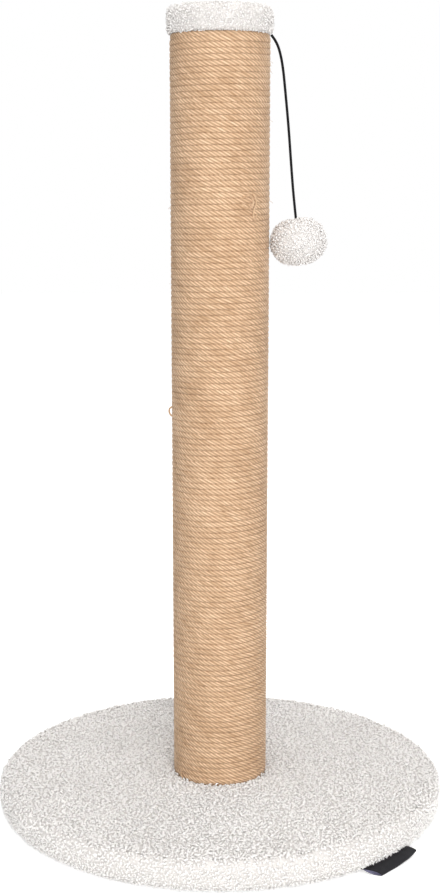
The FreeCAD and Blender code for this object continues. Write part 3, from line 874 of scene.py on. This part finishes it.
cord_radius = 0.0011
# the distance from the post's axis and the height of each point that the cord passes near
cord_points = [
    (0.04246, 0.67332), (0.04592, 0.66920), (0.04943, 0.66140), (0.05234, 0.64820),
    (0.05466, 0.62720), (0.05757, 0.59880), (0.05984, 0.57000), (0.06254, 0.53850),
    (0.06639, 0.50757),
]
line = smooth_line([(out, 0, height) for out, height in cord_points], 24)
centreline = [vert.co.copy() for vert in drawn(line).vertices]
thicken(line, cord_radius, 4)
tube = bmesh.new()
tube.from_mesh(drawn(line))
bpy.data.objects.remove(line)
bmesh.ops.remove_doubles(tube, verts=tube.verts, dist=1e-6)

elastic, thread, wear = finish("black_elastic", Roughness=0.7, Specular_IOR_Level=0.12)
weave = grain(thread, 0.0006, 2.0)
wear(Base_Color=weave.blend(srgb(8, 8, 9), srgb(24, 23, 26)), Normal=relief(thread, weave, 0.0001))
toy_cord = new_piece("toy_elastic", tube, elastic, None)
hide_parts("toy_cord")
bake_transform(toy_cord)
for name in ("cord_tail", "cord_knot", "end_knot"):
    dress(name, elastic)
dress("cord_staple", staple_wire)


# ---- toy ball --------------------------------------------------------------------------------
# A flattened ball of the same boucle round fibre filling, drawn in at the top by the cord. It
# leans with the cord's lower end.

ball_centre = sum(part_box("end_knot"), Vector()) / 2
ball_radius = 0.0242
ball_half_height = 0.0198
ball_pile = 0.0012
ball_lean = -7.1
ball_columns = 120
shoulder_share = 0.985
dimple_radius = 0.0075
dimple_depth = 0.0022
bulge_steps = 24

tilt = Matrix.Rotation(math.radians(ball_lean), 4, "Y")
width, height = ball_radius - ball_pile, ball_half_height - ball_pile
upper = [Vector((axis_gap, height - dimple_depth)), Vector((0.004, height - 0.0012)),
         Vector((0.007, height * shoulder_share))]
shoulder = math.asin(shoulder_share)
bulge = []
for step in range(bulge_steps + 1):
    angle = shoulder - (shoulder + math.pi / 2) * step / bulge_steps
    out = width * abs(math.cos(angle)) ** 0.8
    up = height * math.copysign(abs(math.sin(angle)) ** 0.95, angle)
    bulge.append(Vector((max(axis_gap, out), up)))
outline = upper + [point for point in bulge if point.x > dimple_radius or point.y < 0]
outline = resampled(outline, 0.0012)
skin = [Vector((axis_gap, -height + 0.001)), Vector((width * 0.7, -height * 0.7 + 0.001)),
        Vector((width - 0.003, 0)), Vector((width * 0.7, height * 0.7)),
        Vector((axis_gap, height - 0.006))]
ball = turned(outline + skin, ball_columns)
ruffle(ball, 0.0008, 0.0004, lambda place: 1.0)
hang = Matrix.Translation(ball_centre) @ tilt
bmesh.ops.transform(ball, matrix=hang, verts=ball.verts)
toy_ball = new_piece("toy_ball", ball, shaded_pile_finish, "ball")
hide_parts("ball_cover", "ball_filling")
spots = [
    (hang @ point, tilt.to_3x3() @ up)
    for point, up in spots_round(outline, small_spacing, 0.003, length_of(outline), 21)
]
# The ball's locks are painted a little darker, as painted shade that offsets the light the ball
# catches.
plant("ball_curls", spots, "ball", lean=42, size=0.76, seed=21, bare=1, pale=0.02)


# ---- studio ----------------------------------------------------------------------------------
# A pale floor under plain soft light, with the camera a little above the middle of the post.

camera = bpy.data.objects.new("camera", bpy.data.cameras.new("camera"))
camera.location = (0, -1.3093, 0.5605)
camera.rotation_euler = (math.radians(78.02), 0, 0)
camera.data.sensor_fit = "VERTICAL"
camera.data.sensor_height = 36
camera.data.lens = 61.18
camera.data.shift_y = 0.0555
bpy.context.scene.collection.objects.link(camera)
bpy.context.scene.camera = camera

bm = bmesh.new()
bmesh.ops.create_grid(bm, x_segments=1, y_segments=1, size=6)
mesh = bpy.data.meshes.new("floor")
bm.to_mesh(mesh)
bm.free()
floor = bpy.data.objects.new("floor", mesh)
bpy.context.scene.collection.objects.link(floor)


def seen_rays(tree):
    """A Thread in the tree, and 1 where a ray was sent by the camera or mirrored to it."""
    thread = Thread(tree)
    camera_ray, glossy_ray, clear_ray = [
        thread.node("LightPath", {}, {}, name)
        for name in ("Is Camera Ray", "Is Glossy Ray", "Is Transmission Ray")
    ]
    return thread, camera_ray + glossy_ray + clear_ray


floor_finish = bpy.data.materials.new("floor")
floor_finish.use_nodes = True
tree = floor_finish.node_tree
tree.nodes.remove(tree.nodes["Principled BSDF"])
thread, seen = seen_rays(tree)
pale = thread.node("BsdfDiffuse", {}, {"Color": (0.8, 0.8, 0.8, 1)})
glow = thread.node("Emission", {}, {"Color": (1, 1, 1, 1), "Strength": 0.6})
lit = thread.node("AddShader", {}, {0: pale, 1: glow})
shown = thread.node("MixShader", {}, {0: seen, 1: pale, 2: lit})
tree.links.new(shown.socket, tree.nodes["Material Output"].inputs["Surface"])
mesh.materials.append(floor_finish)

world = bpy.data.worlds.new("studio")
world.use_nodes = True
bpy.context.scene.world = world
tree = world.node_tree
thread, seen = seen_rays(tree)
room = seen * 0.5 + 0.5
tree.links.new(room.socket, tree.nodes["Background"].inputs["Strength"])
tree.nodes["Background"].inputs["Color"].default_value = (1, 1, 1, 1)

lamps = [("key", (0.35, -2.2, 0.55), 38, 1.2), ("fill", (-1.6, -1.2, 0.9), 3, 1.2),
         ("top", (0.1, -0.3, 2.4), 29, 1.6), ("back", (0.7, 2.2, 1.0), 14, 1.4)]
for name, place, power, size in lamps:
    lamp = bpy.data.lights.new(name, "AREA")
    lamp.energy = power
    lamp.size = size
    light = bpy.data.objects.new(name, lamp)
    light.location = place
    light.rotation_euler = (Vector((0, 0, 0.33)) - Vector(place)).to_track_quat("-Z", "Y").to_euler()
    bpy.context.scene.collection.objects.link(light)

bpy.context.scene.view_settings.view_transform = "Standard"
